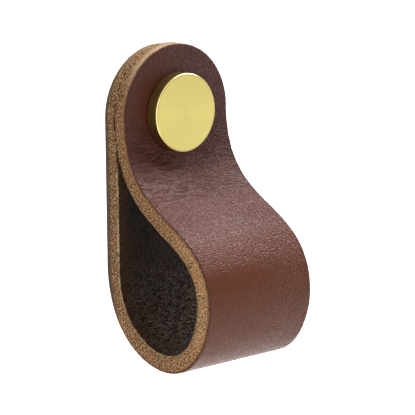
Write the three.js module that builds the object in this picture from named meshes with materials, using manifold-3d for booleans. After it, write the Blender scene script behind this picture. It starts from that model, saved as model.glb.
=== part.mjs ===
// Leather loop cabinet knob. One strap of thick leather is folded into a loop,
// and a turned brass button clamps its two round ends together and to the door.
//
// Millimetres. X runs across the strap, +Y into the door, +Z up. The origin is
// on the button's axis, in the plane of the door that the strap lies against.

import * as THREE from 'three';
import { mergeVertices } from 'three/addons/utils/BufferGeometryUtils.js';
import Module from 'manifold-3d';

// Leather strap
const strapWidth = 28;
const leatherThickness = 3.6;
const clampedThickness = 3;
const layerGap = 0.15;
const cutEdgeRounding = 0.4;
const rearEndReach = 13.3;
const frontEndReach = 13.8;

// Fold of the loop: drops are below the button's axis, depths are out of the door
const rearFlatDrop = 30.2;
const loopDrop = 50;
const lowestPointDepth = 17.3;
const loopDepth = 30.6;
const frontmostPointDrop = 35.5;

// How full each bend is: the share of its own height or depth that it starts
// and ends straight
const rearBendStart = 0.75;
const rearBendEnd = 0.37;
const frontBendStart = 0.82;
const frontBendEnd = 0.21;
const slopeStart = 0.51;
const slopeEnd = 0.68;

// Length that each layer takes to swell back by a millimetre from its squeeze
const rearSwellRun = 16.5;
const frontSwellRun = 46;

// Brass button
const headDiameter = 16;
const headThickness = 2.9;
const headEdgeRounding = 0.35;
const neckDiameter = 7;
const neckClearance = 0.3;
const neckSetback = 0.5;
const neckChamfer = 0.4;
const threadBoreDiameter = 3.3;
const boreFloorThickness = 2;
const drillPointHeight = 0.9;

// The head holds the leather flat this far past its edge, and the leather
// rises to its free line over the next stretch
const pressMargin = 3;
const pressSpread = 6;

// Fineness of the faceted surfaces
const columns = 12;
const cornerSteps = 2;
const roundEndSteps = 9;
const rearFlatRows = 8;
const bendRows = 12;
const slopeRows = 18;
const roundSteps = 48;
const headEdgeSteps = 3;

// Derived from the above
const halfWidth = strapWidth / 2;
const faceHalfWidth = halfWidth - cutEdgeRounding;
const rearLayerDepth = clampedThickness / 2;
const frontLayerDepth = clampedThickness + layerGap + clampedThickness / 2;
const stackDepth = frontLayerDepth + clampedThickness / 2;
const pressRadius = headDiameter / 2 + pressMargin;
const squeeze = leatherThickness - clampedThickness;
const quarterTurn = Math.PI / 2;

const wasm = await Module();
wasm.setup();

const leather = new THREE.MeshStandardMaterial({ color: 0x60413a, roughness: 0.55, metalness: 0 });
const brass = new THREE.MeshStandardMaterial({ color: 0xdccb7a, roughness: 0.3, metalness: 1 });

// The fold line is the middle of the leather's thickness, in the plane x = 0.
// Its points hold the Y and Z of the part in x and y.
function foldPoint(depth, height) {
  return new THREE.Vector2(-depth, height);
}

function foldCurves() {
  const rearLeave = foldPoint(leatherThickness / 2, -rearFlatDrop);
  const lowest = foldPoint(lowestPointDepth, -loopDrop + leatherThickness / 2);
  const frontmost = foldPoint(loopDepth - leatherThickness / 2, -frontmostPointDrop);
  const frontTop = foldPoint(frontLayerDepth, frontEndReach - halfWidth);

  const rearHeight = rearLeave.y - lowest.y;
  const rearDepth = rearLeave.x - lowest.x;
  const frontDepth = lowest.x - frontmost.x;
  const frontHeight = frontmost.y - lowest.y;
  const slopeHeight = frontTop.y - frontmost.y;

  const rearBend = new THREE.CubicBezierCurve(
    rearLeave,
    new THREE.Vector2(rearLeave.x, rearLeave.y - rearBendStart * rearHeight),
    new THREE.Vector2(lowest.x + rearBendEnd * rearDepth, lowest.y),
    lowest,
  );
  const frontBend = new THREE.CubicBezierCurve(
    lowest,
    new THREE.Vector2(lowest.x - frontBendStart * frontDepth, lowest.y),
    new THREE.Vector2(frontmost.x, frontmost.y - frontBendEnd * frontHeight),
    frontmost,
  );
  const slope = new THREE.CubicBezierCurve(
    frontmost,
    new THREE.Vector2(frontmost.x, frontmost.y + slopeStart * slopeHeight),
    new THREE.Vector2(frontTop.x, frontTop.y - slopeEnd * slopeHeight),
    frontTop,
  );
  return { rearBend, frontBend, slope };
}

// The leather's thickness at a height: squeezed at the button, swelling back to
// its free thickness further down
function swollenThickness(height, swellRun) {
  const share = THREE.MathUtils.smoothstep(-height, 0, swellRun * squeeze);
  return clampedThickness + squeeze * share;
}

// One station is a cross-section of the strap: its middle on the fold line, the
// direction of the grain side, the thickness, how far the outline has turned
// round its end, and the depth at which its layer is clamped.
function makeStation(middle, grainSide, thickness, turn, layerDepth) {
  return { middle, grainSide, thickness, turn, layerDepth };
}

function roundEndStations(endReach, layerDepth, grainSide) {
  const stations = [];
  const middle = foldPoint(layerDepth, endReach - halfWidth);
  for (let step = 0; step < roundEndSteps; step += 1) {
    const turn = quarterTurn * step / roundEndSteps;
    stations.push(makeStation(middle, grainSide, clampedThickness, turn, layerDepth));
  }
  return stations;
}

function rearFlatStations(towardsDoor) {
  const stations = [];
  const top = rearEndReach - halfWidth;
  for (let row = 0; row < rearFlatRows; row += 1) {
    const height = THREE.MathUtils.lerp(top, -rearFlatDrop, row / rearFlatRows);
    const thickness = swollenThickness(height, rearSwellRun);
    const middle = foldPoint(thickness / 2, height);
    stations.push(makeStation(middle, towardsDoor, thickness, quarterTurn, rearLayerDepth));
  }
  return stations;
}

function curveStations(curve, rows, layerDepth, thicknessAt) {
  const stations = [];
  for (let row = 0; row < rows; row += 1) {
    const middle = curve.getPointAt(row / rows);
    const along = curve.getTangentAt(row / rows);
    const grainSide = new THREE.Vector2(-along.y, along.x);
    const thickness = thicknessAt(middle.y);
    stations.push(makeStation(middle, grainSide, thickness, quarterTurn, layerDepth));
  }
  return stations;
}

// The strap from its rear end, down the door, round the loop and up to its
// front end
function strapStations() {
  const { rearBend, frontBend, slope } = foldCurves();
  const towardsDoor = new THREE.Vector2(1, 0);
  const towardsHand = new THREE.Vector2(-1, 0);
  const free = () => leatherThickness;
  const squeezed = (height) => swollenThickness(height, frontSwellRun);
  const frontMiddle = foldPoint(frontLayerDepth, frontEndReach - halfWidth);
  const frontFull = makeStation(
    frontMiddle,
    towardsHand,
    clampedThickness,
    quarterTurn,
    frontLayerDepth,
  );
  return [
    ...roundEndStations(rearEndReach, rearLayerDepth, towardsDoor),
    ...rearFlatStations(towardsDoor),
    ...curveStations(rearBend, bendRows, rearLayerDepth, free),
    ...curveStations(frontBend, bendRows, frontLayerDepth, free),
    ...curveStations(slope, slopeRows, frontLayerDepth, squeezed),
    frontFull,
    ...roundEndStations(frontEndReach, frontLayerDepth, towardsHand).reverse(),
  ];
}

// The outline of one cross-section, as points across the strap (across), how
// far each reaches round a round end (reach), and through the leather
// (through, positive on the grain side). The cut edges are rounded.
function sectionOutline(thickness) {
  const half = thickness / 2;
  const face = [];
  for (let column = 0; column <= columns; column += 1) {
    const across = THREE.MathUtils.lerp(-faceHalfWidth, faceHalfWidth, column / columns);
    face.push({ across, reach: faceHalfWidth, through: half });
  }
  const corner = [];
  for (let step = 1; step <= cornerSteps; step += 1) {
    const angle = quarterTurn * step / cornerSteps;
    const reach = faceHalfWidth + cutEdgeRounding * Math.sin(angle);
    const through = half - cutEdgeRounding * (1 - Math.cos(angle));
    corner.push({ across: reach, reach, through });
  }
  const grainHalf = [...face, ...corner];
  const fleshHalf = grainHalf.map((point) => ({
    across: -point.across,
    reach: point.reach,
    through: -point.through,
  }));
  const mirror = (point) => ({ across: -point.across, reach: point.reach, through: point.through });
  const farCorner = corner.map(mirror).reverse();
  const nearCorner = fleshHalf.slice(face.length).map(mirror).reverse();
  return [...farCorner, ...grainHalf, ...nearCorner, ...fleshHalf];
}

// Where a point of a cross-section lies in the part. Near the button the head
// presses it towards the plane of its clamped layer.
function strapPoint(station, point) {
  const { middle, grainSide, thickness, turn, layerDepth } = station;
  const x = point.across * Math.sin(turn);
  const z = middle.y + grainSide.y * point.through + point.reach * Math.cos(turn);
  const freeY = middle.x + grainSide.x * point.through;

  const towardsHand = grainSide.x < 0;
  const clampedThrough = point.through * clampedThickness / thickness;
  const pressedY = -layerDepth + (towardsHand ? -clampedThrough : clampedThrough);
  const away = Math.hypot(x, z) - pressRadius;
  const pressed = 1 - THREE.MathUtils.smoothstep(away, 0, pressSpread);
  return new THREE.Vector3(x, THREE.MathUtils.lerp(freeY, pressedY, pressed), z);
}

// A closed skin over rings of equally many points, with its two end rings
// drawn together to a line
function skinRings(rings) {
  const positions = [];
  for (const ring of rings) {
    for (const point of ring) positions.push(point.x, point.y, point.z);
  }
  const around = rings[0].length;
  const index = [];
  for (let row = 0; row + 1 < rings.length; row += 1) {
    for (let place = 0; place < around; place += 1) {
      const here = row * around + place;
      const beside = row * around + (place + 1) % around;
      const next = here + around;
      const nextBeside = beside + around;
      index.push(here, beside, nextBeside, here, nextBeside, next);
    }
  }
  const geometry = new THREE.BufferGeometry();
  geometry.setAttribute('position', new THREE.Float32BufferAttribute(positions, 3));
  geometry.setIndex(index);
  return geometry;
}

// A geometry as a solid, with shared corners merged and flat slivers dropped
function solidOf(geometry) {
  const bare = geometry.clone();
  bare.deleteAttribute('normal');
  bare.deleteAttribute('uv');
  const merged = mergeVertices(bare, 1e-4);
  const corners = merged.index.array;
  const triangles = [];
  for (let at = 0; at < corners.length; at += 3) {
    const [a, b, c] = corners.slice(at, at + 3);
    if (a !== b && b !== c && c !== a) triangles.push(a, b, c);
  }
  return new wasm.Manifold(new wasm.Mesh({
    numProp: 3,
    vertProperties: merged.attributes.position.array,
    triVerts: new Uint32Array(triangles),
  }));
}

function geometryOf(solid) {
  const mesh = solid.getMesh();
  const geometry = new THREE.BufferGeometry();
  geometry.setAttribute('position', new THREE.BufferAttribute(mesh.vertProperties, 3));
  geometry.setIndex(new THREE.BufferAttribute(mesh.triVerts, 1));
  geometry.computeVertexNormals();
  return geometry;
}

// The strap with one hole punched through both of its ends for the neck
function leatherStrap() {
  const rings = strapStations().map((station) => (
    sectionOutline(station.thickness).map((point) => strapPoint(station, point))
  ));
  const holeRadius = neckDiameter / 2 + neckClearance;
  const punch = new THREE.CylinderGeometry(holeRadius, holeRadius, 2 * stackDepth, roundSteps);
  punch.translate(0, -stackDepth / 2, 0);
  const strap = new THREE.Mesh(geometryOf(solidOf(skinRings(rings)).subtract(solidOf(punch))), leather);
  strap.name = 'leather_strap';
  return strap;
}

// The button turned in one piece: a flat head against the front of the strap,
// a neck through both layers, and a blind bore for the door screw's thread
function brassButton() {
  const headRadius = headDiameter / 2;
  const neckRadius = neckDiameter / 2;
  const boreRadius = threadBoreDiameter / 2;
  const headFront = -stackDepth - headThickness;
  const boreFloor = headFront + boreFloorThickness;

  const profile = new THREE.Path();
  profile.moveTo(0, headFront);
  profile.lineTo(headRadius - headEdgeRounding, headFront);
  profile.absarc(
    headRadius - headEdgeRounding,
    headFront + headEdgeRounding,
    headEdgeRounding,
    -quarterTurn,
    0,
  );
  profile.lineTo(headRadius, -stackDepth);
  profile.lineTo(neckRadius, -stackDepth);
  profile.lineTo(neckRadius, -neckSetback - neckChamfer);
  profile.lineTo(neckRadius - neckChamfer, -neckSetback);
  profile.lineTo(boreRadius, -neckSetback);
  profile.lineTo(boreRadius, boreFloor);
  profile.lineTo(0, boreFloor - drillPointHeight);

  const turned = new THREE.LatheGeometry(profile.getPoints(headEdgeSteps), roundSteps);
  const button = new THREE.Mesh(geometryOf(solidOf(turned)), brass);
  button.name = 'brass_button';
  return button;
}

const knob = new THREE.Group();
knob.add(leatherStrap(), brassButton());

export default knob;
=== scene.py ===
"""The looks of a leather loop cabinet knob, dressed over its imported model.

One strap of thick leather hangs as a loop below a turned brass button. The
script remakes the strap with its grain, flesh and raw cut edges, frays the
edges, turns the button finely and sets up a plain white studio.

Lengths are in metres. X runs across the strap, +Y into the door, +Z up, and
the origin is on the button's axis in the plane of the door. The finishes and
the relief count in millimetres.
"""

import logging
import math
from collections.abc import Mapping
from dataclasses import dataclass, field
from enum import Enum, IntEnum

import bpy
import numpy as np
from mathutils import Matrix, Vector


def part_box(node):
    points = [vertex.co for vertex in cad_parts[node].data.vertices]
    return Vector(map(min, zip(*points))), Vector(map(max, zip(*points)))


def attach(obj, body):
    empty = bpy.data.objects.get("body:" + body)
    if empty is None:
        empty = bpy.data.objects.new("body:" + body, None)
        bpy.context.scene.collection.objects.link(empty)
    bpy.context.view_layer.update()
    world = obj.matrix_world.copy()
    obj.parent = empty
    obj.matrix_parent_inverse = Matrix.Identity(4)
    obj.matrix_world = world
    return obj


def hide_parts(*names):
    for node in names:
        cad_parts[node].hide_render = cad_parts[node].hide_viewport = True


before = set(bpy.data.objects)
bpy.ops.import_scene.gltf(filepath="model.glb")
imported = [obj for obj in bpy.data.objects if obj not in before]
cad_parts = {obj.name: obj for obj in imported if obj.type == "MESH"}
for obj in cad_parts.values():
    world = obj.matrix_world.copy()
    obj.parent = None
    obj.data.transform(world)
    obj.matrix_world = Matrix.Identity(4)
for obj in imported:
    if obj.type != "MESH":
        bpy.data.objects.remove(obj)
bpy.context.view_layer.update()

LOG = logging.getLogger("leather_knob")
MM = 0.001
BODY = "root"
QUARTER = math.pi / 2

Colour = tuple[float, float, float, float]
Triple = tuple[float, float, float]
Span = tuple[float, float]
Section = tuple[tuple[float, float], ...]
Socket = bpy.types.NodeSocket
Source = Socket | float | Colour | Triple


class Zone(IntEnum):
    """The surfaces of the strap, in the order of its material slots."""

    GRAIN = 0
    CUT = 1
    FLESH = 2


class Trace(Enum):
    """The values that the strap's points carry for its finishes.

    RUN is the place along the strap and ACROSS the place over its width, in
    metres. THROUGH goes from -1 on the flesh side to 1 on the grain side. BEND
    is how the fold strains the grain side, above 0 where it is stretched.
    """

    RUN = "run"
    ACROSS = "across"
    THROUGH = "through"
    BEND = "bend"


class Seed(IntEnum):
    """The seeds of everything irregular."""

    SWELL = 11
    PEBBLES = 12
    FOLDS = 13
    INNER_FOLDS = 14
    NAP = 15
    SAW_MARKS = 16
    DRIFT = 17
    EDGE_FIBRES = 21
    INNER_FRINGE = 22
    FLESH_NAP = 23


def linear(hex_colour: str) -> Colour:
    """Turns a screen colour into the linear one that a shader takes.

    Args:
        hex_colour: Six hexadecimal digits, such as "6b4535".

    Returns:
        Linear red, green, blue and a full alpha.
    """
    parts = [int(hex_colour[at:at + 2], 16) / 255 for at in (0, 2, 4)]
    light = [p / 12.92 if p <= 0.04045 else ((p + 0.055) / 1.055) ** 2.4 for p in parts]
    return (light[0], light[1], light[2], 1.0)


def smoothstep(value: np.ndarray, low: float, high: float) -> np.ndarray:
    """Eases from 0 at low to 1 at high."""
    share = np.clip((value - low) / (high - low), 0, 1)
    return share * share * (3 - 2 * share)


def stand(name: str, data: bpy.types.ID) -> bpy.types.Object:
    """Puts a mesh, lamp or camera into the scene.

    Args:
        name: The object's name.
        data: What it shows.

    Returns:
        The new object.
    """
    thing = bpy.data.objects.new(name, data)
    bpy.context.scene.collection.objects.link(thing)
    return thing


class LatticeNoise:
    """Smooth noise between seeded lattice values, for moving mesh points."""

    CELLS = 48
    LAYER_SHIFT = 7.3

    def __init__(self, seed: Seed) -> None:
        """Fills the lattice, which repeats after its last cell."""
        self.table = np.random.default_rng(int(seed)).random((self.CELLS, self.CELLS, self.CELLS))

    def at(self, points: np.ndarray) -> np.ndarray:
        """Gives the noise at each point.

        Args:
            points: Rows of three coordinates, counted in lattice cells.

        Returns:
            One value from 0 to 1 for each row.
        """
        floor = np.floor(points).astype(int)
        part = points - floor
        part = part * part * (3 - 2 * part)
        total = np.zeros(len(points))
        for corner in np.ndindex(2, 2, 2):
            place = (floor + corner) % self.CELLS
            weight = np.prod(np.where(corner, part, 1 - part), axis=1)
            total += weight * self.table[place[:, 0], place[:, 1], place[:, 2]]
        return total

    def layered(self, points: np.ndarray, layers: int = 3) -> np.ndarray:
        """Adds finer and fainter layers of the noise.

        Args:
            points: Rows of three coordinates, counted in cells of the first layer.
            layers: How many layers are added.

        Returns:
            One value from 0 to 1 for each row.
        """
        total = np.zeros(len(points))
        reach = 0.0
        for layer in range(layers):
            strength = 0.5 ** layer
            total += strength * self.at(points * 2 ** layer + self.LAYER_SHIFT * layer)
            reach += strength
        return total / reach

    def creases(self, points: np.ndarray) -> np.ndarray:
        """Gives valleys along the lines where the noise crosses its middle.

        Args:
            points: Rows of three coordinates, counted in lattice cells.

        Returns:
            0 on the open surface, down to -1 along the bottom of a crease.
        """
        return -((1 - np.abs(2 * self.layered(points, 2) - 1)) ** 2)


class NodeBoard:
    """Adds nodes and links to one node tree in few words."""

    def __init__(self, tree: bpy.types.NodeTree) -> None:
        """Takes the tree that it writes to."""
        self.tree = tree

    def add(self, kind: str, **settings: object) -> bpy.types.Node:
        """Adds one node.

        Args:
            kind: The node's type without its ShaderNode prefix.
            **settings: Properties of the node to set.

        Returns:
            The new node.
        """
        node = self.tree.nodes.new("ShaderNode" + kind)
        for name, value in settings.items():
            setattr(node, name, value)
        return node

    def feed(self, target: Socket, source: Source) -> None:
        """Gives an input a link or a plain value.

        Args:
            target: The input socket.
            source: An output socket, or a value for the input.
        """
        if isinstance(source, Socket):
            self.tree.links.new(source, target)
        else:
            target.default_value = source

    def math(self, operation: str, *values: Source, clamp: bool = False) -> Socket:
        """Adds a Math node.

        Args:
            operation: What the node works out.
            *values: Its inputs in order.
            clamp: Whether the result is kept from 0 to 1.

        Returns:
            The result.
        """
        node = self.add("Math", operation=operation, use_clamp=clamp)
        for socket, value in zip(node.inputs, values):
            self.feed(socket, value)
        return node.outputs[0]

    def vector(self, operation: str, *values: Source) -> Socket:
        """Adds a Vector Math node.

        Args:
            operation: What the node works out.
            *values: Its inputs in order.

        Returns:
            The resulting vector.
        """
        node = self.add("VectorMath", operation=operation)
        for socket, value in zip(node.inputs, values):
            self.feed(socket, value)
        return node.outputs[0]

    def times(self, first: Source, *others: Source) -> Socket:
        """Multiplies values.

        Args:
            first: The first value.
            *others: What it is multiplied by, in turn.

        Returns:
            The product.
        """
        product = first
        for other in others:
            product = self.math("MULTIPLY", product, other)
        return product

    def total(self, start: Source, *shares: tuple[Source, Source], clamp: bool = False) -> Socket:
        """Adds shares of masks to a value.

        Args:
            start: The value.
            *shares: Each mask and how much of it is added.
            clamp: Whether the result is kept from 0 to 1.

        Returns:
            The sum.
        """
        result = start
        for mask, share in shares:
            result = self.math("MULTIPLY_ADD", mask, share, result)
        result.node.use_clamp = clamp
        return result

    def ramp(self, value: Source, span: Span) -> Socket:
        """Eases a value into a mask.

        Args:
            value: The value.
            span: Where the mask is 0 and where it is 1.

        Returns:
            The mask.
        """
        node = self.add("MapRange", interpolation_type="SMOOTHSTEP")
        self.feed(node.inputs["Value"], value)
        node.inputs["From Min"].default_value, node.inputs["From Max"].default_value = span
        return node.outputs[0]

    def blend(self, share: Source, low: Source, high: Source) -> Socket:
        """Mixes two colours.

        Args:
            share: How much of the second colour shows.
            low: The first colour.
            high: The second colour.

        Returns:
            The mixed colour.
        """
        node = self.add("Mix", data_type="RGBA")
        self.feed(node.inputs[0], share)
        self.feed(node.inputs[6], low)
        self.feed(node.inputs[7], high)
        return node.outputs[2]

    def glaze(self, colour: Source, *coats: tuple[Source, Source, Source]) -> Socket:
        """Lays coats over a colour, one after the other.

        Args:
            colour: The colour below them.
            *coats: Each coat's mask, how much it covers there, and its colour.

        Returns:
            The glazed colour.
        """
        for mask, share, tint in coats:
            colour = self.blend(self.times(mask, share), colour, tint)
        return colour

    def noise(
        self, place: Source, scale: Source, detail: float = 2.0, roughness: float = 0.5
    ) -> bpy.types.Node:
        """Adds a noise texture.

        Args:
            place: Where it is read.
            scale: Waves in a unit of length.
            detail: How many finer layers it has.
            roughness: How strong they are.

        Returns:
            The texture's node.
        """
        node = self.add("TexNoise")
        self.feed(node.inputs["Vector"], place)
        self.feed(node.inputs["Scale"], scale)
        self.feed(node.inputs["Detail"], detail)
        self.feed(node.inputs["Roughness"], roughness)
        return node

    def split(self, vector: Socket) -> tuple[Socket, ...]:
        """Takes a vector apart.

        Args:
            vector: The vector.

        Returns:
            Its X, Y and Z.
        """
        node = self.add("SeparateXYZ")
        self.feed(node.inputs[0], vector)
        return tuple(node.outputs)

    def join(self, *parts: Source) -> Socket:
        """Puts a vector together.

        Args:
            *parts: Its X, Y and Z.

        Returns:
            The vector.
        """
        node = self.add("CombineXYZ")
        for socket, part in zip(node.inputs, parts):
            self.feed(socket, part)
        return node.outputs[0]

    def trace(self, name: Trace) -> Socket:
        """Reads one of the values that the strap's points carry."""
        return self.add("Attribute", attribute_name=name.value).outputs["Fac"]

    def place(self, group: "SharedGroup", **values: Source) -> Mapping[str, Socket]:
        """Places a shared group and feeds its inputs by name.

        Args:
            group: The group.
            **values: A value or socket for each input.

        Returns:
            The group's outputs by name.
        """
        node = self.add("Group", node_tree=group.tree())
        for name, value in values.items():
            self.feed(node.inputs[name], value)
        return node.outputs


class SharedGroup:
    """A shader node group that is built once and placed in several materials."""

    name = "group"
    inputs: tuple[tuple[str, str, float | None], ...] = ()
    outputs: tuple[tuple[str, str], ...] = ()

    def wire(self, board: NodeBoard, given: Mapping[str, Socket]) -> dict[str, Socket]:
        """Adds the group's own nodes.

        Args:
            board: The group's board.
            given: Its inputs by name.

        Returns:
            What each of its outputs gives, by name.
        """
        raise NotImplementedError

    def tree(self) -> bpy.types.NodeTree:
        """Builds the group at its first use.

        Returns:
            The group's node tree.
        """
        known = bpy.data.node_groups.get(self.name)
        if known is not None:
            return known
        tree = bpy.data.node_groups.new(self.name, "ShaderNodeTree")
        for name, kind, value in self.inputs:
            socket = tree.interface.new_socket(name, in_out="INPUT", socket_type="NodeSocket" + kind)
            if value is not None:
                socket.default_value = value
        for name, kind in self.outputs:
            tree.interface.new_socket(name, in_out="OUTPUT", socket_type="NodeSocket" + kind)
        board = NodeBoard(tree)
        given = tree.nodes.new("NodeGroupInput")
        made = tree.nodes.new("NodeGroupOutput")
        for name, source in self.wire(board, given.outputs).items():
            board.feed(made.inputs[name], source)
        return tree


class SurfacePlace(SharedGroup):
    """Places in millimetres.

    Space is in space, Face over the strap's faces, Edge over its cut edges, and
    Layers the same but drawn out along the leather's layers. Aside is how far
    a point is from the strap's middle line.
    """

    name = "surface_place"
    outputs = (
        ("Space", "Vector"), ("Face", "Vector"), ("Edge", "Vector"), ("Layers", "Vector"),
        ("Aside", "Float"),
    )
    half_leather = 1.8
    layer_draw = (0.12, 0.12, 1.0)

    def wire(self, board: NodeBoard, given: Mapping[str, Socket]) -> dict[str, Socket]:
        """Scales the object's own coordinates and the strap's traces.

        Args:
            board: The group's board.
            given: Nothing, because the group has no inputs.

        Returns:
            The places by name.
        """
        space = board.vector("MULTIPLY", board.add("TexCoord").outputs["Object"], (1 / MM, 1 / MM, 1 / MM))
        side, _, _ = board.split(space)
        run = board.times(board.trace(Trace.RUN), 1 / MM)
        across = board.times(board.trace(Trace.ACROSS), 1 / MM)
        edge = board.join(run, side, board.times(board.trace(Trace.THROUGH), self.half_leather))
        return {
            "Space": space,
            "Face": board.join(run, across),
            "Edge": edge,
            "Layers": board.vector("MULTIPLY", edge, self.layer_draw),
            "Aside": board.math("ABSOLUTE", across),
        }


class SoftBlotches(SharedGroup):
    """Soft patches, for dye that took unevenly, glints and handled metal."""

    name = "soft_blotches"
    inputs = (("Place", "Vector", None), ("Size", "Float", 6.0), ("Contrast", "Float", 2.0))
    outputs = (("Mask", "Float"),)

    def wire(self, board: NodeBoard, given: Mapping[str, Socket]) -> dict[str, Socket]:
        """Stretches the contrast of a soft noise about its middle.

        Args:
            board: The group's board.
            given: The place, a patch's size and the contrast.

        Returns:
            The mask of the patches.
        """
        noise = board.noise(given["Place"], board.math("DIVIDE", 1.0, given["Size"]), detail=3.0)
        spread = board.times(board.math("SUBTRACT", noise.outputs[0], 0.5), given["Contrast"])
        return {"Mask": board.math("ADD", spread, 0.5, clamp=True)}


@dataclass(frozen=True)
class Patches:
    """Soft patches of a finish: about how large in millimetres, and how sharp."""

    size: float
    contrast: float

    def mask(self, board: NodeBoard, place: Source) -> Socket:
        """Lays the patches over a place."""
        return board.place(SoftBlotches(), Place=place, Size=self.size, Contrast=self.contrast)["Mask"]


class HidePebble(SharedGroup):
    """The pebbled cells and pores of a hide's surface."""

    name = "hide_pebble"
    inputs = (("Place", "Vector", None), ("Cell", "Float", 0.6))
    outputs = (("Height", "Float"), ("Pores", "Float"))
    warp_scale = 0.9
    warp_reach = (0.9, 0.9, 0.9)
    smoothness = 0.35
    pore_cells = 0.9
    pore_width = 0.16
    fine_scale = 2.2
    fine_share = 0.3

    def wire(self, board: NodeBoard, given: Mapping[str, Socket]) -> dict[str, Socket]:
        """Rounds warped cells and marks pores where they meet.

        Args:
            board: The group's board.
            given: The place and a cell's size.

        Returns:
            The height of the cells and the mask of the pores.
        """
        warp = board.noise(given["Place"], self.warp_scale)
        shifted = board.vector("MULTIPLY_ADD", warp.outputs["Color"], self.warp_reach, given["Place"])
        cells = board.add("TexVoronoi", feature="SMOOTH_F1")
        cells.inputs["Smoothness"].default_value = self.smoothness
        borders = board.add("TexVoronoi", feature="DISTANCE_TO_EDGE")
        for pattern, scale in ((cells, 1.0), (borders, self.pore_cells)):
            board.feed(pattern.inputs["Vector"], shifted)
            board.feed(pattern.inputs["Scale"], board.math("DIVIDE", scale, given["Cell"]))
        fine = board.noise(given["Place"], board.math("DIVIDE", self.fine_scale, given["Cell"]), detail=4.0)
        dome = board.math("SUBTRACT", 1.0, cells.outputs["Distance"])
        inside = board.ramp(borders.outputs["Distance"], (0.0, self.pore_width))
        return {
            "Height": board.total(dome, (fine.outputs[0], self.fine_share)),
            "Pores": board.math("SUBTRACT", 1.0, inside),
        }


class FibreMottle(SharedGroup):
    """Matted fibres: a mottled tone with dark pits and pale fibre ends."""

    name = "fibre_mottle"
    inputs = (("Place", "Vector", None), ("Size", "Float", 0.4), ("Stretch", "Float", 0.4))
    outputs = (("Tone", "Float"), ("Pits", "Float"), ("Ends", "Float"))
    fleck_scale = 1.7
    pits = (0.48, 0.38)
    ends = (0.53, 0.62)

    def wire(self, board: NodeBoard, given: Mapping[str, Socket]) -> dict[str, Socket]:
        """Lengthens noise along the first two axes and takes its extremes.

        Args:
            board: The group's board.
            given: The place, a fleck's size and how far the fibres are drawn out.

        Returns:
            The tone, and the masks of the pits and the fibre ends.
        """
        squeeze = board.join(given["Stretch"], given["Stretch"], 1.0)
        along = board.vector("MULTIPLY", given["Place"], squeeze)
        scale = board.math("DIVIDE", 1.0, given["Size"])
        tone = board.noise(along, scale, detail=5.0, roughness=0.65)
        flecks = board.noise(along, board.times(scale, self.fleck_scale)).outputs[0]
        return {
            "Tone": tone.outputs[0],
            "Pits": board.ramp(flecks, self.pits),
            "Ends": board.ramp(flecks, self.ends),
        }


class PressedFolds(SharedGroup):
    """Fine folds pressed across a bend."""

    name = "pressed_folds"
    inputs = (
        ("Place", "Vector", None), ("Pitch", "Float", 0.9), ("Length", "Float", 4.0),
        ("Slant", "Float", 0.0),
    )
    outputs = (("Valleys", "Float"),)
    drift_scale = 0.15
    drift_reach = 3.0
    valley = (0.54, 0.34)

    def wire(self, board: NodeBoard, given: Mapping[str, Socket]) -> dict[str, Socket]:
        """Takes the low values of a noise that is drawn out along the folds.

        Args:
            board: The group's board.
            given: The place over a face, and the folds' pitch, length and slant.

        Returns:
            The mask of the valleys.
        """
        run, across, _ = board.split(given["Place"])
        drift = board.noise(given["Place"], self.drift_scale).outputs[0]
        wandered = board.total(run, (across, given["Slant"]), (drift, self.drift_reach))
        drawn = board.join(
            board.math("DIVIDE", wandered, given["Pitch"]), board.math("DIVIDE", across, given["Length"])
        )
        return {"Valleys": board.ramp(board.noise(drawn, 1.0, detail=1.0).outputs[0], self.valley)}


class CornerLines(SharedGroup):
    """Masks along the two corners of a cut edge, with ragged borders."""

    name = "corner_lines"
    inputs = (
        ("Place", "Vector", None), ("Line", "Float", 0.1), ("Burnish", "Float", 0.5), ("Fray", "Float", 0.1),
    )
    outputs = (("Dyed", "Float"), ("Burnished", "Float"), ("Frayed", "Float"))
    ragged_scale = 1.3
    ragged_reach = 0.3
    grain_corner = 1.0
    flesh_corner = -1.0

    def wire(self, board: NodeBoard, given: Mapping[str, Socket]) -> dict[str, Socket]:
        """Compares the place through the leather with a ragged limit.

        Args:
            board: The group's board.
            given: The place, and how far each mask reaches from its corner.

        Returns:
            The three masks by name.
        """
        ragged = board.noise(given["Place"], self.ragged_scale, detail=3.0).outputs[0]
        wander = board.total(-self.ragged_reach / 2, (ragged, self.ragged_reach))
        through = board.trace(Trace.THROUGH)
        made = {}
        for name, reach, corner, steepness in (
            ("Dyed", "Line", self.grain_corner, 12.0),
            ("Burnished", "Burnish", self.grain_corner, 3.0),
            ("Frayed", "Fray", self.flesh_corner, 9.0),
        ):
            outwards = board.total(wander, (through, corner))
            over = board.math("ADD", board.math("SUBTRACT", outwards, 1.0), given[reach])
            made[name] = board.math("MULTIPLY", over, steepness, clamp=True)
        return made


def new_material(name: str) -> tuple[bpy.types.Material, NodeBoard, bpy.types.Node]:
    """Starts a material with one Principled shader.

    Args:
        name: The material's name.

    Returns:
        The material, a board for its nodes, and its shader.
    """
    material = bpy.data.materials.new(name)
    material.use_nodes = True
    material.node_tree.nodes.clear()
    board = NodeBoard(material.node_tree)
    shader = board.add("BsdfPrincipled")
    output = board.add("OutputMaterial")
    board.feed(output.inputs["Surface"], shader.outputs["BSDF"])
    return material, board, shader


def add_bump(board: NodeBoard, shader: bpy.types.Node, height: Socket, depth: float) -> None:
    """Feeds a height into the shader's normal.

    Args:
        board: The material's board.
        shader: The Principled shader.
        height: Height from 0 to about 1.
        depth: What a height of 1 measures, in metres.
    """
    bump = board.add("Bump")
    bump.inputs["Strength"].default_value = 1.0
    bump.inputs["Distance"].default_value = depth
    board.feed(bump.inputs["Height"], height)
    board.feed(shader.inputs["Normal"], bump.outputs["Normal"])


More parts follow.
